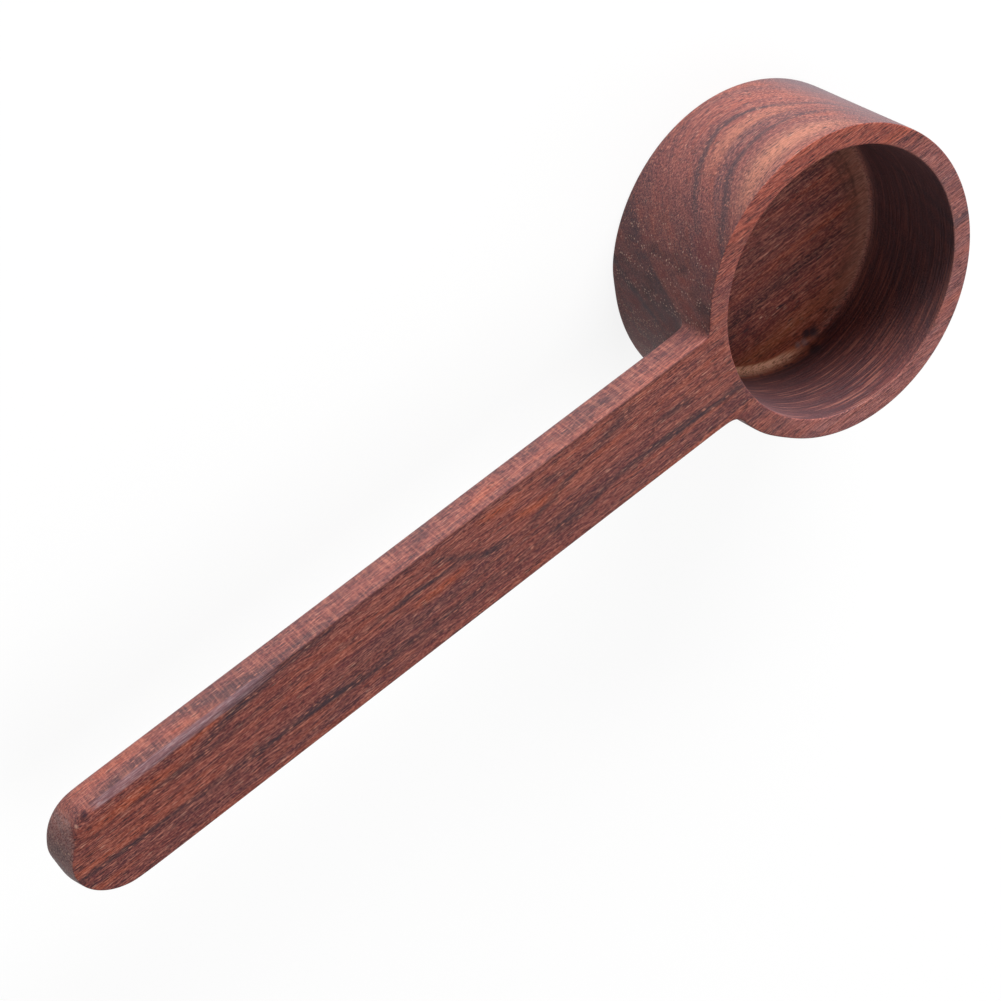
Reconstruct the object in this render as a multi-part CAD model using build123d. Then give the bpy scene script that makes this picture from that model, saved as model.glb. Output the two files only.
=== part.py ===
from build123d import *

import os

# A measuring spoon carved from one block of walnut: a short round cup with a flat bar of a handle.
# The handle's top face and the cup's rim are one plane, because both are the face of the same board.
# Frame: +Z up out of the cup, origin at the centre of the cup's base, handle along +X. Millimetres.

# Cup: the wall stands off its bore by the wall's thickness at the rim, and leans out towards the base
rim_diameter = 45.0
wall_thickness = 3.0
wall_lean = 0.6
cup_height = 22.0
base_edge_radius = 0.6
rim_edge_radius = 0.5

# Hollow of the cup
floor_thickness = 4.2
cove_radius = 0.9
bore_mouth_radius = 0.4

# Handle
handle_reach = 128.0
handle_width = 13.8
handle_thickness = 5.7
handle_bottom_radius = 0.8
root_fillet_radius = 1.5

# How far a cut runs past the face that it opens
overrun = 1.0

# The seam of each turned face lies opposite the handle, clear of the fillets at its root
seam_angle = 180.0


def turned_cup():
    """The outside of the cup, turned with a wall that leans out a little towards the base."""
    cup = Cone(
        rim_diameter / 2 + wall_lean,
        rim_diameter / 2,
        cup_height,
        rotation=(0, 0, seam_angle),
        align=(Align.CENTER, Align.CENTER, Align.MIN),
    )
    return cup


def handle_bar():
    """The handle, a flat bar with a full round end, from the cup's axis to its tip."""
    underside = cup_height - handle_thickness
    round_centre = handle_reach - handle_width / 2
    plan = Pos(round_centre / 2, 0) * Rectangle(round_centre, handle_width)
    plan += Pos(round_centre, 0) * Circle(handle_width / 2)
    bar = Pos(0, 0, underside) * extrude(plan, handle_thickness)
    low_edges = bar.edges().group_by(Axis.Z)[0]
    butt = low_edges.sort_by(Axis.X)[0]
    return fillet([edge for edge in low_edges if edge != butt], handle_bottom_radius)


def hollow():
    """What the cutter takes out of the cup: a straight bore with a small cove round its floor."""
    depth = cup_height - floor_thickness + overrun
    plug = Cylinder(
        rim_diameter / 2 - wall_thickness,
        depth,
        rotation=(0, 0, seam_angle),
        align=(Align.CENTER, Align.CENTER, Align.MIN),
    )
    plug = fillet(plug.edges().group_by(Axis.Z)[0], cove_radius)
    return Pos(0, 0, floor_thickness) * plug


def spoon():
    """Cup and handle as one solid, with the handle's root blended into the cup and every edge eased."""
    cup = turned_cup()
    bar = handle_bar()
    body = cup + bar
    root = [edge for edge in new_edges(cup, bar, combined=body) if edge.center().Z < cup_height]
    root = [edge for edge in root if edge.bounding_box().min.Z < cup_height - rim_edge_radius]
    body = fillet(root, root_fillet_radius)
    body -= hollow()

    mouth = [edge for edge in body.edges().group_by(Axis.Z)[-1] if edge.is_closed]
    body = fillet(mouth, bore_mouth_radius)
    outline = [edge for edge in body.edges().group_by(Axis.Z)[-1] if not edge.is_closed]
    body = fillet(outline, rim_edge_radius)
    foot = body.edges().group_by(Axis.Z)[0]
    body = fillet(foot, base_edge_radius)
    return body


os.makedirs("parts", exist_ok=True)
export_step(spoon(), "parts/spoon.step")
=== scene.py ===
import math

import bmesh
import bpy
from mathutils import Matrix, Vector, noise


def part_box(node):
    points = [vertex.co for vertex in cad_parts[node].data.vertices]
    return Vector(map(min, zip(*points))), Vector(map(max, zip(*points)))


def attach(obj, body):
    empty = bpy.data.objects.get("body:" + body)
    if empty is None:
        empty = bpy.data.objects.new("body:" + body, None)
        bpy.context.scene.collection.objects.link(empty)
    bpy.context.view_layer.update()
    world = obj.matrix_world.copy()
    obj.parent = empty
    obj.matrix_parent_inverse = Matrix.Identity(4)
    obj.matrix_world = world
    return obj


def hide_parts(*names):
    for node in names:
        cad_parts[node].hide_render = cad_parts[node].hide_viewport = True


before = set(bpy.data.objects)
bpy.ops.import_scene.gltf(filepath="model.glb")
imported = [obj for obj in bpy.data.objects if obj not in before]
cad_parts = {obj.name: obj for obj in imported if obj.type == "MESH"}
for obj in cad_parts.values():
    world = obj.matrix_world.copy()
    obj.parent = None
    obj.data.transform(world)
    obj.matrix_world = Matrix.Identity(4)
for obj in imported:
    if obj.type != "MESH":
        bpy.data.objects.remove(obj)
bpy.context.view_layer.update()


# The cup. It is turned from the walnut board that the handle is part of: a straight bore with a flat floor,
# and outside a wall that leans out a little towards the base. The rim is left flat, in the plane of the
# board's face.
mm = 0.001
spoon_low, spoon_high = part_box("spoon")
cup_height = spoon_high.z
base_radius = -spoon_low.x
rim_radius = 22.5 * mm
bore_radius = 19.5 * mm
floor_height = 4.2 * mm
handle_thickness = 5.7 * mm
handle_underside = cup_height - handle_thickness
cup_columns = 60
base_ring_shares = (1 / 3, 2 / 3, 1)
wall_row_shares = (0.25, 0.5)
root_row_shares = (0, 0.5, 1)
bore_row_shares = (1, 2 / 3, 1 / 3, 0)
router_pitch = 0.75 * mm
router_depth = 0.05 * mm
router_inner_radius = 2.0 * mm


def wall_radius(height):
    """The outside radius of the cup's wall, which leans out towards the base."""
    return base_radius + (rim_radius - base_radius) * height / cup_height


profile = [(0, 0)] + [(base_radius * share, 0) for share in base_ring_shares]
for share in wall_row_shares:
    profile.append((wall_radius(cup_height * share), cup_height * share))
for share in root_row_shares:
    height = handle_underside + handle_thickness * share
    profile.append((wall_radius(height), height))
mid_rim = (rim_radius + bore_radius) / 2
profile.append((mid_rim, cup_height))
for share in bore_row_shares:
    profile.append((bore_radius, floor_height + (cup_height - floor_height) * share))

# The router leaves shallow rings on the floor, a ridge and a groove in turn.
ring_radius = bore_radius - 2 * router_pitch
ring_is_groove = False
while ring_radius > router_inner_radius:
    profile.append((ring_radius, floor_height - router_depth * ring_is_groove))
    ring_radius -= router_pitch
    ring_is_groove = not ring_is_groove
profile.append((0, floor_height))

bm = bmesh.new()
corners = [bm.verts.new((radius, 0, height)) for radius, height in profile]
sides = [bm.edges.new(pair) for pair in zip(corners, corners[1:])]
bmesh.ops.spin(
    bm,
    geom=corners + sides,
    cent=(0, 0, 0),
    axis=(0, 0, 1),
    dvec=(0, 0, 0),
    angle=2 * math.pi,
    steps=cup_columns,
    use_merge=True,
    use_duplicate=False,
)
merge_distance = 0.001 * mm
bmesh.ops.remove_doubles(bm, verts=bm.verts, dist=merge_distance)


# The handle. It is sawn from the same board as the cup, its top face level with the rim, and runs straight
# out of the wall. Its end is rounded in plan to a full half circle.
handle_half_width = 6.9 * mm
handle_tip = spoon_high.x
round_centre = handle_tip - handle_half_width
handle_columns = 3
column_angle = 2 * math.pi / cup_columns
root_station = 25.5 * mm
station_count = 12
round_steps = 16
steep = 0.7


def is_root_face(face):
    """True for the faces of the outside wall that the handle grows out of."""
    centre = face.calc_center_median()
    on_wall = centre.xy.length > mid_rim and abs(face.normal.z) < steep
    in_height = handle_underside < centre.z < cup_height
    in_width = abs(math.atan2(centre.y, centre.x)) < column_angle * handle_columns
    return on_wall and in_height and in_width


bm.normal_update()
section = [face for face in bm.faces if is_root_face(face)]
for station in range(station_count):
    share = station / (station_count - 1)
    drawn = bmesh.ops.extrude_face_region(bm, geom=section)["geom"]
    bmesh.ops.delete(bm, geom=section, context="FACES")
    section = [item for item in drawn if isinstance(item, bmesh.types.BMFace)]
    for vert in {vert for face in section for vert in face.verts}:
        if station == 0:
            column = round(math.atan2(vert.co.y, vert.co.x) / column_angle)
            vert.co.y = handle_half_width * column / handle_columns
        vert.co.x = root_station + (round_centre - root_station) * share

bmesh.ops.delete(bm, geom=section, context="FACES")
open_edges = [edge for edge in bm.edges if edge.is_boundary]
half = [edge for edge in open_edges if max(vert.co.y for vert in edge.verts) < merge_distance]
bmesh.ops.spin(
    bm,
    geom=half + list({vert for edge in half for vert in edge.verts}),
    cent=(round_centre, 0, 0),
    axis=(0, 0, 1),
    dvec=(0, 0, 0),
    angle=math.pi,
    steps=round_steps,
    use_merge=False,
    use_duplicate=False,
)
bmesh.ops.remove_doubles(bm, verts=bm.verts, dist=merge_distance)
bmesh.ops.recalc_face_normals(bm, faces=bm.faces)


# The edges. The maker breaks every edge with fine paper: the roots of the handle keep a small hollow fillet,
# and the rim, the mouth of the bore and the arrises of the handle are rounded just enough for the hand.
handle_bottom_edge = 0.8 * mm
outline_edge = 0.2 * mm
mouth_edge = 0.25 * mm
base_edge = 0.6 * mm
cove = 0.9 * mm
edge_segments = 3


def corners_between(low, high, near, far):
    """Edges where a level face meets an upright one, between two heights and two distances from the axis."""
    found = []
    for edge in bm.edges:
        middle = (edge.verts[0].co + edge.verts[1].co) / 2
        level = [abs(face.normal.z) > steep for face in edge.link_faces]
        in_height = low - merge_distance < min(vert.co.z for vert in edge.verts)
        in_height = in_height and max(vert.co.z for vert in edge.verts) < high + merge_distance
        if in_height and near < middle.xy.length < far and sorted(level) == [False, True]:
            found.append(edge)
    return found


def is_root_side(edge):
    """True for the upright edges where the handle's sides meet the wall of the cup."""
    for vert in edge.verts:
        half_width = wall_radius(vert.co.z) * math.sin(column_angle * handle_columns)
        in_height = handle_underside - merge_distance < vert.co.z < cup_height + merge_distance
        if not in_height or vert.co.x < bore_radius or abs(abs(vert.co.y) - half_width) > merge_distance:
            return False
    return abs(edge.verts[0].co.z - edge.verts[1].co.z) > merge_distance


def round_over(edges, radius):
    """Rounds these edges to a radius."""
    bmesh.ops.bevel(
        bm,
        geom=edges,
        offset=radius,
        offset_type="OFFSET",
        segments=edge_segments,
        profile=0.5,
        affect="EDGES",
        clamp_overlap=False,
        material=-1,
    )
    bm.normal_update()


bm.normal_update()
all_round = handle_tip + mm
under_edges = corners_between(handle_underside, handle_underside, mid_rim, all_round)
root_sides = [edge for edge in bm.edges if is_root_side(edge)]
round_over(under_edges + root_sides, handle_bottom_edge)
round_over(corners_between(cup_height, cup_height, mid_rim, all_round), outline_edge)
round_over(corners_between(cup_height, cup_height, 0, mid_rim), mouth_edge)
round_over(corners_between(0, 0, mid_rim, handle_tip), base_edge)
round_over(corners_between(floor_height, floor_height, bore_radius - mm, mid_rim), cove)


# The hand's work. Sanding by hand is never even: one root of the handle is eased more than the other, the
# tip's top edge is worn down most at one side, and no face is quite flat.
def ramp(value, start, end):
    """A smooth step from 0 at the start to 1 at the end."""
    share = min(max((value - start) / (end - start), 0), 1)
    return share * share * (3 - 2 * share)


root_ease_reach = 1.3 * mm
root_ease = 2.4
root_swell = 0.45 * mm
root_swell_heights = (10 * mm, 16 * mm)
root_swell_start = (17, 21)
root_swell_end = (45, 30)
base_swell = 0.3 * mm
base_swell_angle = math.radians(-15)
base_swell_spread = math.radians(28)
base_swell_top = 11 * mm
tip_wear = 4.5
tip_wear_stations = (94 * mm, 116 * mm)
tip_wear_places = (-0.1 * handle_half_width, -0.75 * handle_half_width)
tip_lean_station = 117 * mm
tip_lean = 0.3 * mm
corner_lean = 1.1 * mm
corner_angle = math.radians(-32)
corner_spread = math.radians(38)
low_bulge = 1.2 * mm
low_bulge_angle = math.radians(21)
low_bulge_spread = math.radians(24)
flatness = 0.05 * mm
flatness_wave = 15 * mm
subdivisions = 2

root_corner = Vector((rim_radius * math.cos(column_angle * handle_columns), handle_half_width))
for vert in bm.verts:
    radius = vert.co.xy.length
    angle = math.atan2(vert.co.y, vert.co.x)
    offset = vert.co.xy - root_corner
    if offset.length < root_ease_reach and vert.co.z > handle_underside - merge_distance:
        vert.co.xy = root_corner + offset * root_ease

    # The cup stands out a little beside the eased root, and at the foot below the handle.
    if mid_rim < radius < root_station and vert.co.x < root_corner.x + merge_distance:
        degrees = math.degrees(angle)
        beside_root = ramp(degrees, *root_swell_start) * ramp(degrees, *root_swell_end)
        beside_root *= ramp(vert.co.z, *root_swell_heights)
        near_foot = math.exp(-(((angle - base_swell_angle) / base_swell_spread) ** 2))
        near_foot *= ramp(vert.co.z, base_swell_top, 0)
        swell = root_swell * beside_root + base_swell * near_foot
        vert.co.xy *= 1 + swell / radius

    # The top edge of the handle is worn rounder towards the tip, most at the side away from the eased root.
    beyond = Vector((vert.co.x - round_centre, vert.co.y)) if vert.co.x > round_centre else None
    if vert.co.x > root_station:
        outward = beyond.normalized() if beyond else Vector((0, math.copysign(1, vert.co.y)))
        out = beyond.length if beyond else abs(vert.co.y)
        inside = handle_half_width - out
        below = cup_height - vert.co.z
        if max(inside, below) < outline_edge + merge_distance:
            wear = tip_wear * ramp(vert.co.x, *tip_wear_stations) * ramp(vert.co.y, *tip_wear_places)
            vert.co.xy -= outward * inside * wear
            vert.co.z -= below * wear

    # The end leans back above its lower edge, most where the paper took off its corner.
    if beyond:
        turn = math.atan2(beyond.y, beyond.x)
        off_corner = math.exp(-(((turn - corner_angle) / corner_spread) ** 2))
        lean = tip_lean * ramp(vert.co.x, tip_lean_station, handle_tip) + corner_lean * off_corner
        lift = ramp(vert.co.z, handle_underside, cup_height)
        bulge = low_bulge * math.exp(-(((turn - low_bulge_angle) / low_bulge_spread) ** 2))
        vert.co.xy += outward * (bulge * (1 - lift) - lean * lift)
        vert.co.x = min(vert.co.x, handle_tip)

# Each face is a little hollow here and there, never proud of its true plane.
bm.normal_update()
hollows = {vert: noise.noise(vert.co / flatness_wave) for vert in bm.verts}
for vert, hollow in hollows.items():
    vert.co -= vert.normal * flatness * (0.5 + 0.5 * hollow)

mesh = bpy.data.meshes.new("spoon_body")
bm.to_mesh(mesh)
bm.free()
mesh.shade_smooth()
body = bpy.data.objects.new("spoon_body", mesh)
bpy.context.scene.collection.objects.link(body)
smooth = body.modifiers.new("smooth", "SUBSURF")
smooth.levels = subdivisions
smooth.render_levels = subdivisions


# The walnut. Black walnut heartwood, sanded and wiped with oil, its grain along the handle. The growth rings
# rise across the board, so a dark streak on the top face comes out lower on the handle's side and in the cup.
ring_lean = 0.65
ring_drift = 0.5
ring_drift_size = (22, 7, 7)
black_streak = "2a1a22"
dark_ring = "48222a"
red_brown = "672d2c"
light_brown = "823e34"
orange_brown = "98452b"
pore_brown = "260f16"
dry_fleck = "ba7763"
pale_fleck = "cc9c86"
end_fleck = "d8b09c"
pale_side_and_sheen = "8a757a"
grazing_sheen_grey = "5c5056"
burnished_highlight_cream = "ffc6a6"
amber = "b8694a"
floor_orange = "a05c38"
corner_brown = "b07866"
knot_grey = "786064"
sunny_tan = "bc7c60"
olive_brown = "7c5244"
oil_red = "6a2424"
rim_light_pink = "b47c7c"
end_grain = "7a646a"
arris_wear_and_sheen = "62464c"
lilac_arris_highlight = "8c787c"
tip_grey = "987a76"
rim_red = "c05c44"


def linear(colour):
    """The linear colour, with its alpha, of an sRGB hex value."""
    channels = [int(colour[start : start + 2], 16) / 255 for start in (0, 2, 4)]
    straight = [c / 12.92 if c <= 0.04045 else ((c + 0.055) / 1.055) ** 2.4 for c in channels]
    return (*straight, 1)


def add(tree, kind, inputs=None, **settings):
    """Adds a node with these settings, and links each of its inputs to a socket or sets it to a value."""
    node = tree.nodes.new(kind)
    for name, value in settings.items():
        setattr(node, name, value)
    for name, value in (inputs or {}).items():
        if isinstance(value, bpy.types.NodeSocket):
            tree.links.new(value, node.inputs[name])
        else:
            node.inputs[name].default_value = value
    return node


walnut_material = bpy.data.materials.new("oiled_black_walnut")
walnut_material.use_nodes = True
walnut = walnut_material.node_tree
walnut.nodes.clear()

# Places on the wood in millimetres: along the grain, across the rings, and along the rings away from the top
# face. The sizes of the marks are in the same order.
millimetres = 1 / mm
top_height = cup_height * millimetres
on_spoon = add(walnut, "ShaderNodeTexCoord").outputs["Object"]
place = add(walnut, "ShaderNodeMapping", {0: on_spoon, "Scale": (millimetres,) * 3}).outputs[0]
along, side, up = add(walnut, "ShaderNodeSeparateXYZ", {0: place}).outputs
normal = add(walnut, "ShaderNodeNewGeometry").outputs["Normal"]
faces = add(walnut, "ShaderNodeSeparateXYZ", {0: normal}).outputs


def sized_noise(where, size, detail, roughness=0.5):
    """Noise for marks of this size, in millimetres along each axis of these places."""
    stretch = [1 / length for length in size]
    drawn = add(walnut, "ShaderNodeMapping", {0: where, "Scale": stretch}).outputs[0]
    inputs = {"Vector": drawn, "Scale": 1, "Detail": detail, "Roughness": roughness}
    return add(walnut, "ShaderNodeTexNoise", inputs).outputs[0]


drift = sized_noise(place, ring_drift_size, 3)
drift = add(walnut, "ShaderNodeMapRange", {0: drift, 3: -ring_drift, 4: ring_drift}).outputs[0]


def ring_place(lean):
    """How far across rings of this lean a point lies, in millimetres on the top face."""
    across = add(walnut, "ShaderNodeVectorMath", {0: place, 1: (0, 1, -lean)}, operation="DOT_PRODUCT")
    return add(
        walnut,
        "ShaderNodeMath",
        {0: across.outputs["Value"], 1: lean * top_height},
        operation="ADD",
    ).outputs[0]


straight_ring = ring_place(ring_lean)
ring = add(walnut, "ShaderNodeMath", {0: straight_ring, 1: drift}, operation="ADD").outputs[0]
deep = add(walnut, "ShaderNodeVectorMath", {0: place, 1: (0, ring_lean, 1)}, operation="DOT_PRODUCT")
grain = add(walnut, "ShaderNodeCombineXYZ", {0: along, 1: ring, 2: deep.outputs["Value"]}).outputs[0]


def blend(colour, tone, share, strength=1):
    """Mixes a colour with a darker or lighter tone, as much as the share says."""
    amount = add(walnut, "ShaderNodeMath", {0: share, 1: strength}, operation="MULTIPLY", use_clamp=True)
    inputs = {0: amount.outputs[0], 6: colour, 7: linear(tone)}
    return add(walnut, "ShaderNodeMix", inputs, data_type="RGBA").outputs[2]


def spread(value, none, full):
    """0 where a value is at none, 1 where it is at full, and even steps between."""
    return add(walnut, "ShaderNodeMapRange", {0: value, 1: none, 2: full}).outputs[0]


def product(*shares):
    """These shares multiplied together."""
    total = shares[0]
    for share in shares[1:]:
        total = add(walnut, "ShaderNodeMath", {0: total, 1: share}, operation="MULTIPLY").outputs[0]
    return total


def towards(degrees, none, full):
    """0 and 1 where a point lies so many millimetres from the cup's axis, measured in this direction."""
    turn = (math.cos(math.radians(degrees)), math.sin(math.radians(degrees)), 0)
    reach = add(walnut, "ShaderNodeVectorMath", {0: place, 1: turn}, operation="DOT_PRODUCT")
    return spread(reach.outputs["Value"], none, full)


# Where the marks of the making lie: inside the cup, on its upright bore, on its level floor, on its wall, on
# the sides that the saw cut along the grain, and on end grain, which soaks up more oil and turns greyer. Of
# each two limits, here and below, the first is where a mark has gone and the second where it is in full.
bore_edge = bore_radius * millimetres
inside_limits = (bore_edge + 0.3, bore_edge + 0.1)
wall_limits = (bore_edge + 1, bore_edge + 2)
level_limits = (0.7, 0.95)
upright_limits = (0.5, 0.1)
flat_place = add(walnut, "ShaderNodeVectorMath", {0: place, 1: (1, 1, 0)}, operation="MULTIPLY").outputs[0]
radius_here = add(walnut, "ShaderNodeVectorMath", {0: flat_place}, operation="LENGTH").outputs["Value"]
floor_level = floor_height * millimetres
above_floor = add(walnut, "ShaderNodeMath", {0: up, 1: floor_level}, operation="SUBTRACT").outputs[0]
below_top = add(walnut, "ShaderNodeMath", {0: top_height, 1: up}, operation="SUBTRACT").outputs[0]
inside = spread(radius_here, *inside_limits)
endways, sideways, level = [
    add(walnut, "ShaderNodeMath", {0: part}, operation="ABSOLUTE").outputs[0] for part in faces
]
on_bore = product(spread(level, *upright_limits), inside)
off_bore = spread(on_bore, 1.6, 0)
on_floor = product(spread(level, *level_limits), inside)
on_wall = product(spread(level, 0.6, 0.3), spread(radius_here, *wall_limits))
endways = add(walnut, "ShaderNodeMath", {0: endways, 1: 2}, operation="POWER").outputs[0]
sideways = add(walnut, "ShaderNodeMath", {0: sideways, 1: 3}, operation="POWER").outputs[0]

# The broad bands of colour, each a few rings wide, warmer patches in them, and the fine rings.
band_size = (60, 2.2, 30)
band_levels = (0.36, 0.5, 0.64)
warm_patch_size = (26, 1.5, 10)
ring_line_size = (40, 0.45, 14)
fine_ring_size = (30, 0.16, 8)
cup_end = (24, 20)

bands = sized_noise(grain, band_size, 3)
tones = add(walnut, "ShaderNodeValToRGB", {0: bands})
tones.color_ramp.elements[0].position = band_levels[0]
tones.color_ramp.elements[0].color = linear(dark_ring)
tones.color_ramp.elements[1].position = band_levels[2]
tones.color_ramp.elements[1].color = linear(light_brown)
tones.color_ramp.elements.new(band_levels[1]).color = linear(red_brown)
wood = tones.outputs[0]
warm = sized_noise(grain, warm_patch_size, 2)
wood = blend(wood, orange_brown, spread(warm, 0.5, 0.7), 0.6)
ring_lines = sized_noise(grain, ring_line_size, 2, 0.6)
off_wall = spread(product(sideways, spread(along, *cup_end)), 1.4, 0)
wood = blend(wood, dark_ring, product(spread(ring_lines, 0.48, 0.68), off_bore, off_wall), 0.7)
fine_rings = sized_noise(grain, fine_ring_size, 2, 0.6)
wood = blend(wood, dark_ring, product(spread(fine_rings, 0.48, 0.65), off_bore), 0.4)
wood = blend(wood, dry_fleck, product(spread(fine_rings, 0.48, 0.35), off_bore), 0.2)


# The streaks. Each follows a line of (along, across, strength, width) with its place in millimetres, and has
# two sides of its own width, as one year's growth has.
streak_core = 0.2
streak_wander = 0.3
wander_size = (5, 2, 2)
steep_lean = 0.9
shallow_lean = 0.62

wander = sized_noise(grain, wander_size, 3, 0.65)
wander = add(walnut, "ShaderNodeMapRange", {0: wander, 3: -streak_wander, 4: streak_wander}).outputs[0]


def streak(line, low_side, high_side, across):
    """How strongly a streak shows. Across is the direction in which its place is measured."""
    centre, strength, width = [
        add(walnut, "ShaderNodeFloatCurve", {1: along}) for _ in ("centre", "strength", "width")
    ]
    for column, curve in enumerate((centre, strength, width), 1):
        curve.mapping.use_clip = False
        curve.mapping.extend = "HORIZONTAL"
        points = curve.mapping.curves[0].points
        points[0].location = (line[0][0], line[0][column])
        points[1].location = (line[-1][0], line[-1][column])
        for point in line[1:-1]:
            points.new(point[0], point[column])
        curve.mapping.update()
    ragged = add(walnut, "ShaderNodeMath", {0: wander, 1: centre.outputs[0]}, operation="ADD").outputs[0]
    away = add(walnut, "ShaderNodeMath", {0: across, 1: ragged}, operation="SUBTRACT").outputs[0]
    away = add(walnut, "ShaderNodeMath", {0: away, 1: width.outputs[0]}, operation="DIVIDE").outputs[0]
    low = spread(away, -low_side - streak_core, -streak_core)
    high = spread(away, high_side + streak_core, streak_core)
    return product(low, low, high, high, strength.outputs[0])


def strongest(shares):
    """The strongest of these shares at each point."""
    total = shares[0]
    for share in shares[1:]:
        total = add(walnut, "ShaderNodeMath", {0: total, 1: share}, operation="MAXIMUM").outputs[0]
    return total


rings = ring_place(ring_lean)
steep_rings = ring_place(steep_lean)
shallow_rings = ring_place(shallow_lean)
side_rings = ring_place(-ring_lean)

long_streak = [
    (-23, 3.25, 1, 1.3), (-19, 3.25, 1, 1.3), (19.3, 3.05, 1, 1.2), (23, 2.9, 1, 0.9), (25, 2.8, 1, 0.8),
    (27.5, 2.7, 1, 1.1), (33, 2.4, 1, 1), (38, 2.4, 0.85, 0.8), (43, 2.45, 0.7, 0.7), (47, 3, 0.6, 1.6),
    (51, 3.1, 0.6, 2.2), (54, 3.4, 0.3, 1.5), (61, 3.5, 0.35, 1), (66, 3.5, 0.55, 0.8), (80, 3.3, 0.65, 0.8),
    (85, 3.2, 0.9, 0.8), (88, 2.8, 1, 1.1), (92, 2.45, 0.95, 0.7), (100, 2.3, 0.8, 0.6), (105, 2.1, 0.4, 0.8),
    (112, 2, 0.6, 0.8), (120, 1.7, 0.65, 0.7), (128, 1.3, 0.5, 0.6),
]
arch_streak = [
    (34, -5.6, 0, 1), (37, -5.1, 0.55, 1.4), (41, -4, 0.5, 1.2), (45, -3, 0.45, 0.8), (48.5, -2.1, 0.75, 0.8),
    (51, -1.4, 0.85, 0.9), (54, -0.5, 0.6, 0.7), (57, -0.2, 0.3, 0.5), (60, -0.5, 0.75, 0.9),
    (62.5, -1, 0.8, 0.9), (64.5, -2.2, 0.6, 1.1), (66.5, -3.6, 0.6, 1.2), (68.5, -4.8, 0.3, 1),
    (70, -5.2, 0, 1),
]
low_streak = [
    (62.5, -1.6, 0, 0.8), (66, -2.3, 0.4, 0.8), (70, -2.6, 0.7, 0.6), (73.5, -2.8, 0.9, 0.8),
    (76, -2.7, 0.5, 0.6), (85, -2.9, 0.3, 0.6), (96, -2.9, 0.3, 0.6), (106, -2.8, 0.6, 0.8),
    (110, -3, 0.85, 0.9), (114, -3.1, 0.5, 0.6), (120, -3, 0.35, 0.4), (128, -3.2, 0.3, 0.4),
]
edge_streak = [
    (82, -5.8, 0, 1), (86, -6.1, 0.5, 1), (92, -6.1, 0.6, 0.8), (96.5, -5.7, 0.85, 1.1), (99, -5.5, 1, 1.3),
    (101.5, -4.9, 0.8, 1), (104.5, -4.1, 0.55, 0.8), (108, -3.4, 0, 0.6),
]
short_streak = [(26, -0.5, 0, 1), (28.5, -0.5, 0.7, 1), (32, -0.7, 0.6, 1), (34.5, -0.8, 0, 1)]
small_streak = [(47, -3.8, 0, 1), (48.5, -4, 0.5, 1), (50.5, -4.2, 0.4, 1), (52, -4.3, 0, 1)]
upper_wall_streak = [
    (-23, -13.2, 0.4, 0.7), (-13.4, -14, 0.55, 0.7), (-3, -15.3, 0.75, 0.7), (3.3, -15.5, 0.8, 0.7),
    (7.6, -15.5, 0.85, 1.1), (11, -16.4, 0.8, 1.5), (15.1, -15.9, 0.6, 1.5), (17, -16, 0, 1),
]
lower_wall_streak = [
    (-23, -13.7, 0.3, 0.6), (-11.9, -13.9, 0.4, 0.6), (-7.8, -14.5, 0.55, 0.6), (-3.6, -14.1, 0.75, 0.6),
    (0, -13.7, 0.8, 0.7), (6.4, -13.8, 0.75, 0.7), (12.2, -13.5, 0.6, 0.7), (15, -13.3, 0, 0.6),
]
# Painted shade on the wall below the handle's root, which also darkens the handle's underside all along.
shade_under_handle = [
    (14, 0, 0, 1), (15.9, 1.4, 0.7, 1), (17.2, 3.9, 0.7, 1), (18.8, 6.4, 0.75, 1), (19.8, 9.5, 0.75, 1),
    (20.9, 12.6, 0.8, 1), (21.8, 14.5, 0.8, 1), (24, 15.5, 0.8, 1),
]
side_streak = [
    (38.5, -8.4, 0, 1), (41, -8.4, 0.6, 1), (45, -8.3, 0.5, 1), (47.5, -8.3, 0, 1), (93, -7.2, 0, 1),
    (94.5, -7.15, 0.8, 1), (97.5, -7.4, 0.8, 1), (99.5, -8.4, 0.6, 1), (102, -8, 0.6, 1), (105, -7.6, 0.5, 1),
    (107, -7.4, 0.2, 1), (110, -7.9, 0.5, 1), (114, -7.9, 0.6, 1), (118, -7.6, 0.6, 1), (121, -7.5, 0, 1),
]
dark = [
    streak(long_streak, 1.2, 0.9, rings),
    streak(arch_streak, 1.3, 1.1, rings),
    streak(low_streak, 0.9, 1, rings),
    streak(edge_streak, 1.6, 1.1, rings),
    streak(short_streak, 0.8, 0.8, rings),
    streak(small_streak, 1, 0.9, rings),
    streak(upper_wall_streak, 1, 0.5, steep_rings),
    streak(lower_wall_streak, 0.5, 0.7, shallow_rings),
    # Painted shade below the handle, drawn as a broad streak.
    streak(shade_under_handle, 12, 3, up),
    streak(side_streak, 0.9, 0.8, side_rings),
]
darkest = strongest(dark)
lined = add(walnut, "ShaderNodeMapRange", {0: ring_lines, 1: 0.35, 2: 0.65, 3: 0.7, 4: 1.3})
darkest = product(darkest, lined.outputs[0])
wood = blend(wood, black_streak, darkest, 0.9)

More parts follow.
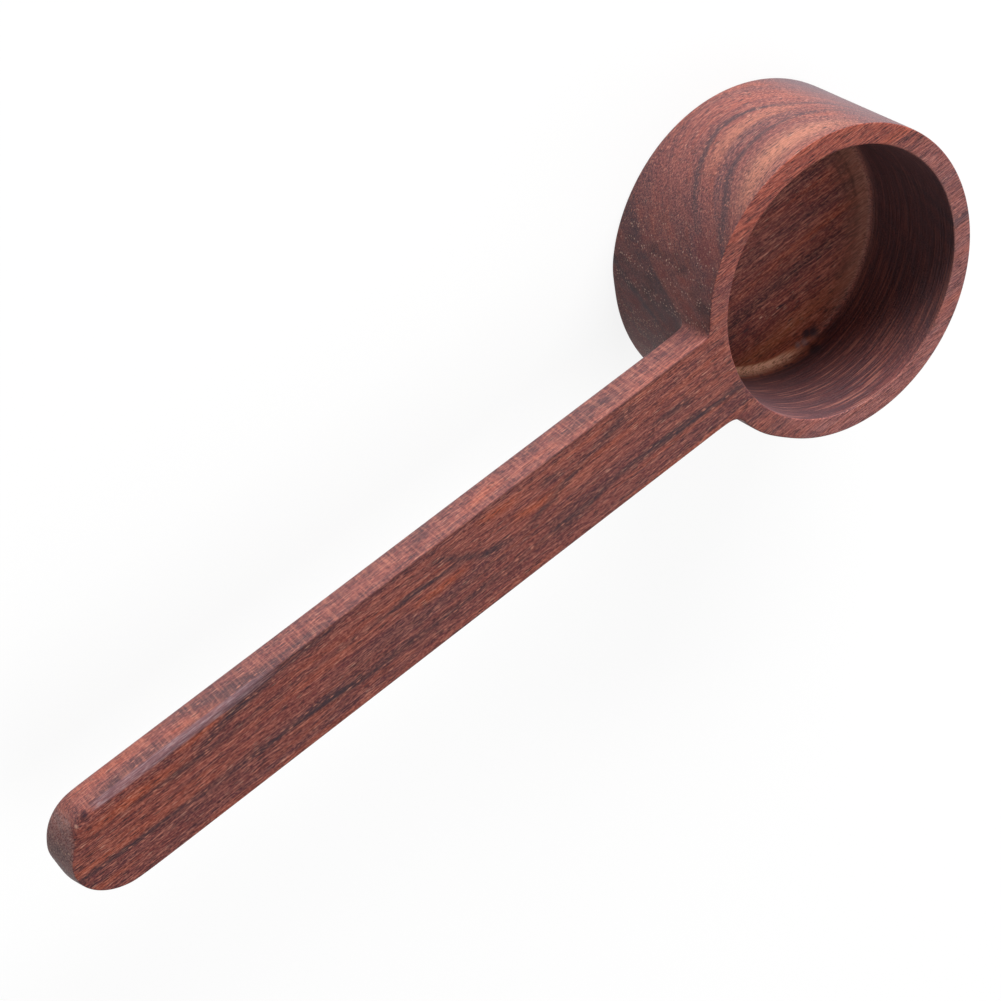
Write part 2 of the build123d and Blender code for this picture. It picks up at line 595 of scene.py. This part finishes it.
# The orange patches on the handle and the cup's floor, the tan ones on the wall, and the dark bands and the
# lines on the floor, which is redder with oil towards the handle.
patch_side = 1.2
floor_line_size = (9, 0.35, 8)
oiled_side = (135, 14, 2)
rust = [
    [(48, -1.5, 0, 1), (51, -1.8, 0.9, 1), (55, -2.3, 0.9, 1), (57.5, -2.6, 0, 1)],
    [(54, -5, 0, 1), (57, -5.1, 0.9, 1), (60, -5.4, 0.7, 1), (62, -5.6, 0, 1)],
    [(64, -0.9, 0, 1), (67, -0.8, 0.8, 1), (72, -0.8, 0.7, 1), (75, -0.8, 0, 1)],
    [(100, -6.4, 0, 1), (103, -6, 0.8, 1), (107, -5.5, 0.7, 1), (110, -5.2, 0, 1)],
    [(106, -3.5, 0, 1.2), (112, -3.9, 0.8, 1.4), (120, -3.8, 0.8, 1.4), (125, -3.4, 0, 1.2)],
    [(-20, 27, 0.2, 5), (-4, 27.5, 0.5, 5), (4, 28, 0.9, 5), (20, 28, 0.6, 5)],
    [(-17, 14.4, 0.3, 1), (-8, 15, 0.9, 1.1), (2, 15.9, 0.9, 1.1), (9, 16.5, 0.6, 1)],
    [(-16, 8.6, 0, 1), (-13, 8.6, 0.7, 1), (-5, 8.4, 0.7, 1), (1, 8.2, 0, 1)],
]
patches = strongest([streak(line, patch_side, patch_side, rings) for line in rust])
wood = blend(wood, orange_brown, product(patches, off_bore), 0.9)
tan = [
    [(-11, -19, 0, 3), (-5, -19.4, 0.9, 3), (6, -19.4, 0.9, 3), (12, -19, 0, 3)],
    [(-9, -12.2, 0, 2), (-2, -12.2, 0.6, 2), (5, -12.2, 0.5, 2), (9, -12.2, 0, 2)],
]
tan_patches = product(strongest([streak(line, 1, 1, steep_rings) for line in tan]), on_wall)
wood = blend(wood, sunny_tan, tan_patches, 0.6)
upper_floor_band = [(-16, 18, 0.3, 1), (-8, 18.4, 0.8, 1), (3, 19.3, 0.9, 1), (11, 20.2, 0.9, 1)]
lower_floor_band = [(-20, 6, 0.5, 1), (20, 6, 0.5, 1)]
middle_floor_band = [(-14, 11.8, 0.4, 1), (14, 12.6, 0.5, 1)]
floor_bands = [
    streak(upper_floor_band, 3, 2, rings),
    streak(middle_floor_band, 2, 2, rings),
    streak(lower_floor_band, 4, 2, rings),
]
wood = blend(wood, oil_red, product(on_floor, towards(*oiled_side)), 0.45)
wood = blend(wood, pore_brown, product(strongest(floor_bands), on_floor), 0.65)
floor_patch = [(-15, 25.4, 0.3, 1), (-6, 26, 0.5, 1), (1, 26.6, 0.9, 1), (12, 27.2, 1, 1)]
wood = blend(wood, floor_orange, product(streak(floor_patch, 3, 3, rings), on_floor), 0.6)
floor_lines = sized_noise(grain, floor_line_size, 3, 0.6)
wood = blend(wood, pore_brown, product(spread(floor_lines, 0.5, 0.65), on_floor), 0.4)
wood = blend(wood, dry_fleck, product(spread(floor_lines, 0.46, 0.32), on_floor), 0.4)

# The fibres, and the fine speckle that the grit leaves. Both are drawn coarser than the real ones, so that
# they show.
fibre_size = (2.2, 0.18, 0.18)
grit_size = (0.45, 0.2, 0.2)
fibre_dark = (0.5, 0.64)
fibre_light = (0.46, 0.32)

fibres = sized_noise(grain, fibre_size, 3, 0.72)
wood = blend(wood, pore_brown, spread(fibres, *fibre_dark), 0.88)
wood = blend(wood, dry_fleck, spread(fibres, *fibre_light), 0.8)
grit = sized_noise(place, grit_size, 1)
wood = blend(wood, pore_brown, spread(grit, 0.5, 0.7), 0.35)
wood = blend(wood, dry_fleck, spread(grit, 0.5, 0.3), 0.3)
wood = blend(wood, black_streak, darkest, 0.65)

# The open pores are dark dashes along the grain, and dots where the grain comes out at the surface. Each kind
# has its length and spacing in millimetres, how much of its cell a dash fills, and the shares of the cells
# that have a strong one and any at all.
open_pore_kind = (2, 0.38, 0.34, 0.4, 0.5)
filled_pore_kind = (2, 0.3, 0.32, 0.15, 0.3)
streak_fleck_kind = (1.3, 0.4, 0.34, 0.25, 0.35)
torn_dark_kind = (2.2, 0.9, 0.42, 0.5, 0.6)
torn_glint_kind = (1.1, 0.5, 0.34, 0.3, 0.42)
end_dot_kind = (1.4, 0.4, 0.34, 0.25, 0.35)


def dashes(length, spacing, size, strong, any_at_all):
    """Short dashes of one kind along the grain."""
    cells = add(walnut, "ShaderNodeMapping", {0: grain, "Scale": (1 / length, 1 / spacing, 1 / spacing)})
    found = add(walnut, "ShaderNodeTexVoronoi", {"Vector": cells.outputs[0], "Scale": 1})
    kind = add(walnut, "ShaderNodeSeparateColor", {0: found.outputs["Color"]}).outputs[0]
    return product(spread(found.outputs["Distance"], size, size / 2), spread(kind, any_at_all, strong))


open_pores = dashes(*open_pore_kind)
filled_pores = dashes(*filled_pore_kind)
wood = blend(wood, pore_brown, open_pores, 0.75)
wood = blend(wood, pale_fleck, product(filled_pores, spread(fibres, 0.6, 0.4)), 0.55)
wood = blend(wood, dry_fleck, product(spread(darkest, 0.02, 0.3), dashes(*streak_fleck_kind)), 0.7)

# The router tore the grain of the floor along one line, into short dark pits with pale lips, painted as
# glints where they catch the light.
torn_side = 1.6
torn_line = [(-17, 22.2, 0, 0.5), (-8, 22.3, 0.8, 0.5), (-2, 22.3, 1, 1), (9, 21.6, 1, 1), (12, 21.6, 0, 1)]
torn = product(streak(torn_line, torn_side, torn_side, rings), on_floor)
wood = blend(wood, black_streak, product(torn, dashes(*torn_dark_kind)), 0.85)
# Painted glints on the lips of the torn pits.
wood = blend(wood, pale_fleck, product(torn, dashes(*torn_glint_kind)), 0.7)


def spot(centre, inner, outer):
    """1 within the inner radius of a point and 0 beyond the outer, in millimetres."""
    away = add(walnut, "ShaderNodeVectorMath", {0: place, 1: centre}, operation="DISTANCE").outputs["Value"]
    return spread(away, outer, inner)


# The side of the floor away from the handle is browner and keeps the last of the cutter's rings. Each side is
# a direction in degrees from the handle, with the two distances that way between which a mark grows.
blotch_size = (1.2, 1.2, 0.7)
brown_side = (170, 7, 14)
brown_radii = (13.5, 17)
groove_pitch = 1.5
groove_side = (195, 13, 16)
groove_inner_radii = (14, 14.5)
groove_outer_radii = (17.5, 17)

blotch = sized_noise(place, blotch_size, 3)
brown_floor = product(on_floor, spread(radius_here, *brown_radii), towards(*brown_side))
wood = blend(wood, olive_brown, brown_floor, 0.45)
groove_turn = 2 * math.pi / groove_pitch
turns = add(walnut, "ShaderNodeMath", {0: radius_here, 1: groove_turn}, operation="MULTIPLY").outputs[0]
grooves = spread(add(walnut, "ShaderNodeMath", {0: turns}, operation="SINE").outputs[0], 0.2, 0.9)
groove_ring = product(spread(radius_here, *groove_inner_radii), spread(radius_here, *groove_outer_radii))
grooved = product(on_floor, groove_ring, grooves, towards(*groove_side), spread(blotch, 0.4, 0.55))
wood = blend(wood, pore_brown, grooved, 0.45)

# The cutter leaves fine level lines round the bore, with painted highlights on the pale lines between them.
# The bore is darker all round, and redder and darker still on the far side.
cutter_line_size = (8, 8, 0.3)
red_side = (62, 11, 17)
dark_side = (62, 14, 18.5)

cutter_lines = sized_noise(place, cutter_line_size, 2)
cutter_dark = product(spread(cutter_lines, 0.48, 0.6), on_bore)
cutter_highlight = product(spread(cutter_lines, 0.42, 0.32), on_bore)
wood = blend(wood, pore_brown, on_bore, 0.2)
wood = blend(wood, oil_red, product(on_bore, towards(*red_side)), 0.45)
wood = blend(wood, pore_brown, product(on_bore, towards(*dark_side)), 0.5)
wood = blend(wood, pore_brown, cutter_dark, 0.6)
# Painted highlights on the cutter's fine ridges.
wood = blend(wood, dry_fleck, cutter_highlight, 0.45)

# The cutter burnishes the corner where wall and floor meet, most on the handle's side, and its near-white
# band there is a painted highlight of the cove catching the light. A pin knot breaks the burnished line: each
# of its parts is a place with an inner and an outer radius, in millimetres.
brown_corner_side = (165, 11, 18)
brown_corner_heights = (1.8, 1)
brown_corner_radii = (16.6, 17.8)
amber_side = (74, 17, 18.4)
amber_heights = (2.3, 1.5)
amber_radii = (17.8, 18.4)
highlight_corner_side = (64, 17.2, 18.6)
highlight_corner_heights = (1.5, 0.7)
highlight_corner_radii = (18.2, 18.6)
grey_knot = [((0.4, 18.6, 4.3), 0.2, 0.7), ((-0.7, 18.7, 4.4), 0.2, 0.8)]
dark_knot = [((-2.7, 18.3, 4.2), 0.4, 1.2), ((-1.6, 17.9, 4.2), 0.3, 1.1), ((-0.9, 19.5, 6.3), 0.6, 1.3)]


def in_corner(heights, radii, cup_side):
    """1 in the corner where wall and floor meet, at these heights above the floor, radii and side."""
    return product(inside, spread(above_floor, *heights), spread(radius_here, *radii), towards(*cup_side))


grainy = spread(fibres, 0.66, 0.42)
brown_corner = in_corner(brown_corner_heights, brown_corner_radii, brown_corner_side)
wood = blend(wood, corner_brown, product(brown_corner, grainy), 0.55)
amber_corner = in_corner(amber_heights, amber_radii, amber_side)
wood = blend(wood, amber, product(amber_corner, spread(blotch, 0.35, 0.5)), 0.7)
burnished_highlight_corner = in_corner(highlight_corner_heights, highlight_corner_radii, highlight_corner_side)
# A painted highlight along the cove, over the burnished wood.
wood = blend(wood, burnished_highlight_cream, product(burnished_highlight_corner, grainy), 1)
wood = blend(wood, knot_grey, strongest([spot(*part) for part in grey_knot]), 0.7)
wood = blend(wood, black_streak, strongest([spot(*part) for part in dark_knot]), 0.9)

# The rim is painted paler than the handle, as a pool of painted light on the cup, and it is redder on the
# near side.
rim_depths = (0.4, 0.1)
rim_end = (20, 12)
lit_rim_sides = (-16, -8)
red_rim_sides = (-10, -15)

on_rim = product(spread(below_top, *rim_depths), spread(level, 0.5, 0.8), spread(along, *rim_end))
# Painted light: the rim is lightened towards pink away from the near side.
wood = blend(wood, rim_light_pink, product(on_rim, spread(side, *lit_rim_sides), grainy), 0.28)
red_rim = product(on_rim, spread(side, *red_rim_sides), spread(fibres, 0.6, 0.42))
wood = blend(wood, rim_red, red_rim, 0.38)

# The sawn sides of the board took less oil than its face and are paler and drier, and their paleness is
# partly a painted sheen of light grazing them. The end grain is greyer, in dark and red stains with pale
# dots, and the tip, which is all end grain, greyest.
stain_size = (3, 3, 5)
tip_slope = 0.85
tip_limits = (106, 106.6)
grazing_sheen_side = (-140, 20.5, 22.8)
saw_line_size = (0.3, 9, 4)
handle_start = (23, 26)

# Paler, greyer sides: partly drier wood, partly painted sheen.
wood = blend(wood, pale_side_and_sheen, sideways, 0.15)
wood = blend(wood, end_grain, endways, 0.3)
on_end = product(spread(endways, 0.3, 0.6), spread(inside, 1, 0))
stain = sized_noise(place, stain_size, 4)
wood = blend(wood, black_streak, product(on_end, spread(stain, 0.48, 0.68)), 0.6)
wood = blend(wood, oil_red, product(on_end, spread(stain, 0.5, 0.34)), 0.45)
slant = add(walnut, "ShaderNodeVectorMath", {0: place, 1: (1, 0, -tip_slope)}, operation="DOT_PRODUCT")
on_tip = product(spread(slant.outputs["Value"], *tip_limits), spread(endways, 0.15, 0.3))
wood = blend(wood, tip_grey, product(on_tip, spread(grit, 0.65, 0.4)), 0.65)
wood = blend(wood, end_fleck, product(on_end, dashes(*end_dot_kind)), 0.65)
wood = blend(wood, end_grain, product(on_bore, endways), 0.35)
# A grey-lilac painted sheen on the far edge of the cup's wall, where it turns away.
wood = blend(wood, grazing_sheen_grey, product(on_wall, towards(*grazing_sheen_side)), 0.75)
saw_lines = sized_noise(place, saw_line_size, 2)
on_side = product(sideways, spread(along, *handle_start))
wood = blend(wood, pore_brown, product(on_side, spread(saw_lines, 0.5, 0.7)), 0.2)
wood = blend(wood, dry_fleck, product(on_side, spread(saw_lines, 0.5, 0.3)), 0.25)

# The top arris of the handle's near side has a dark line of painted shade along it, and where the paper has
# worn it round it is grey, partly a painted sheen with lilac painted highlights, up to a nick and a pale chip
# at the tip. The lower arrises are greyer all along.
arris_start = (23, 25)
arris_sides = (-5.9, -6.2)
shadow_depths = (0.3, 0.15)
shadow_sides = (-6.4, -6.6)
worn_depths = (1.1, 0.8)
worn_start = (92, 98)
worn_end = (121, 119.5)
low_arris_heights = (17.4, 16.8)
low_arris_start = (26, 30)
nick = ((121.8, -6.1, 21.5), 0.2, 0.9)
chip = ((123.2, -5.3, 21.3), 0.15, 0.45)

near_arris = product(spread(side, *arris_sides), spread(along, *arris_start))
arris_shadow = product(spread(below_top, *shadow_depths), spread(side, *shadow_sides), near_arris)
# A dark line of painted shade along the near top arris.
wood = blend(wood, pore_brown, arris_shadow, 0.5)
worn_part = product(spread(along, *worn_start), spread(along, *worn_end))
worn = product(spread(below_top, *worn_depths), near_arris, worn_part)
# Grey of the worn arris, partly a painted sheen of the rounded edge.
wood = blend(wood, arris_wear_and_sheen, worn, 0.7)
# Narrow lilac painted highlights along the worn arris.
wood = blend(wood, lilac_arris_highlight, product(worn, spread(fibres, 0.52, 0.38)), 0.55)
low_arris = product(spread(up, *low_arris_heights), sideways, spread(along, *low_arris_start))
wood = blend(wood, arris_wear_and_sheen, low_arris, 0.3)
wood = blend(wood, black_streak, spot(*nick), 0.85)
wood = blend(wood, end_fleck, spot(*chip), 0.9)

# The finish. Wiped oil fills little, so the pores and the cutter's lines stay open and the wood is nearly
# matt, but for the burnished corner.
pore_depth = 0.05 * mm
smoothest = 0.42
roughest = 0.6
burnish = 0.2
oil_gloss = 0.17

height = add(walnut, "ShaderNodeMath", {0: open_pores, 1: -1}, operation="MULTIPLY").outputs[0]
height = add(walnut, "ShaderNodeMath", {0: fibres, 1: height}, operation="ADD").outputs[0]
height = add(walnut, "ShaderNodeMath", {0: height, 1: cutter_dark}, operation="SUBTRACT").outputs[0]
relief = add(walnut, "ShaderNodeBump", {"Strength": 1, "Distance": pore_depth, "Height": height})
sheen = add(walnut, "ShaderNodeMapRange", {0: fibres, 1: 0.2, 2: 0.8, 3: smoothest, 4: roughest})
sheen = add(
    walnut,
    "ShaderNodeMath",
    {0: burnished_highlight_corner, 1: -burnish, 2: sheen.outputs[0]},
    operation="MULTIPLY_ADD",
)
finish = add(
    walnut,
    "ShaderNodeBsdfPrincipled",
    {
        "Base Color": wood,
        "Roughness": sheen.outputs[0],
        "Normal": relief.outputs[0],
        "Specular IOR Level": oil_gloss,
    },
)
add(walnut, "ShaderNodeOutputMaterial", {0: finish.outputs[0]})

mesh.materials.append(walnut_material)
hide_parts("spoon")
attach(body, "root")


# The camera looks down on the handle's top face, turned as the photograph is.
camera_aim = Vector((57.08, -6.38, 22.0)) * mm
camera_distance = 277.69 * mm
camera_azimuth = math.radians(110.367)
camera_elevation = math.radians(49.222)
camera_roll = math.radians(127.059)
lens_length = 78.343
sensor_width = 36.0
near_clip = 10 * mm

view = Vector((math.cos(camera_azimuth), math.sin(camera_azimuth), 0)) * math.cos(camera_elevation)
view.z = -math.sin(camera_elevation)
camera_data = bpy.data.cameras.new("camera")
camera_data.lens = lens_length
camera_data.sensor_width = sensor_width
camera_data.clip_start = near_clip
camera = bpy.data.objects.new("camera", camera_data)
bpy.context.scene.collection.objects.link(camera)
turned = view.to_track_quat("-Z", "Y").to_matrix() @ Matrix.Rotation(camera_roll, 3, "Z")
camera.matrix_world = Matrix.Translation(camera_aim - view * camera_distance) @ turned.to_4x4()
bpy.context.scene.camera = camera


# The studio: a pale floor, a low soft window on the near side, a soft panel overhead and a weaker one behind.
# The camera sees the floor as white, while the spoon gets the plain light of a pale floor and a dim room.
floor_colour = "e6e6e6"
seen_floor_colour = "636363"
seen_floor_glow = 0.88
room_level = 0.1
seen_room_level = 1
floor_half_side = 2.0
middle = (spoon_low + spoon_high) / 2

floor_mesh = bpy.data.meshes.new("floor")
bm = bmesh.new()
bmesh.ops.create_grid(bm, x_segments=1, y_segments=1, size=floor_half_side)
bm.to_mesh(floor_mesh)
bm.free()
floor = bpy.data.objects.new("floor", floor_mesh)
bpy.context.scene.collection.objects.link(floor)

floor_material = bpy.data.materials.new("white_paper_sweep")
floor_material.use_nodes = True
paper = floor_material.node_tree
paper.nodes.clear()
floor_mesh.materials.append(floor_material)


def seen_directly(tree):
    """1 for rays that see the background itself, by eye, in a gloss or through glass, and 0 for the rest."""
    path = add(tree, "ShaderNodeLightPath").outputs
    seen = path["Is Camera Ray"]
    for ray in ("Is Glossy Ray", "Is Transmission Ray"):
        seen = add(tree, "ShaderNodeMath", {0: seen, 1: path[ray]}, operation="MAXIMUM").outputs[0]
    return seen


paper_light = add(paper, "ShaderNodeBsdfDiffuse", {"Color": linear(floor_colour)}).outputs[0]
paper_shadow = add(paper, "ShaderNodeBsdfDiffuse", {"Color": linear(seen_floor_colour)}).outputs[0]
glow_inputs = {"Color": linear("ffffff"), "Strength": seen_floor_glow}
paper_glow = add(paper, "ShaderNodeEmission", glow_inputs).outputs[0]
paper_white = add(paper, "ShaderNodeAddShader", {0: paper_shadow, 1: paper_glow}).outputs[0]
paper_mix = add(paper, "ShaderNodeMixShader", {0: seen_directly(paper), 1: paper_light, 2: paper_white})
add(paper, "ShaderNodeOutputMaterial", {0: paper_mix.outputs[0]})

world = bpy.data.worlds.new("studio")
bpy.context.scene.world = world
world.use_nodes = True
room = world.node_tree
room.nodes.clear()
room_levels = {0: seen_directly(room), 3: room_level, 4: seen_room_level}
room_strength = add(room, "ShaderNodeMapRange", room_levels).outputs[0]
background = add(room, "ShaderNodeBackground", {"Color": linear("ffffff"), "Strength": room_strength})
add(room, "ShaderNodeOutputWorld", {0: background.outputs[0]})


def soft_lamp(name, azimuth, elevation, distance, width, height, level):
    """A soft panel lamp. At a level of 1, a surface that faces it renders in its colour as written."""
    panel = bpy.data.lights.new(name, "AREA")
    panel.shape = "RECTANGLE"
    panel.size = width
    panel.size_y = height
    panel.energy = level * (math.pi * distance) ** 2
    lamp = bpy.data.objects.new(name, panel)
    azimuth = math.radians(azimuth)
    elevation = math.radians(elevation)
    bearing = Vector((math.cos(azimuth), math.sin(azimuth), 0)) * math.cos(elevation)
    bearing.z = math.sin(elevation)
    lamp.location = middle + bearing * distance
    lamp.rotation_euler = (-bearing).to_track_quat("-Z", "Y").to_euler()
    lamp.visible_camera = False
    bpy.context.scene.collection.objects.link(lamp)


# Each lamp: its name, azimuth, elevation, distance, width, height and level.
lamps = [
    ("window", -128, 13, 1.6, 1.25, 0.68, 2.1),
    ("overhead", 90, 86, 0.6, 0.5, 0.5, 0.43),
    ("behind", 130, 45, 0.7, 0.4, 0.4, 0.22),
]
for lamp in lamps:
    soft_lamp(*lamp)

bpy.context.scene.view_settings.view_transform = "Standard"
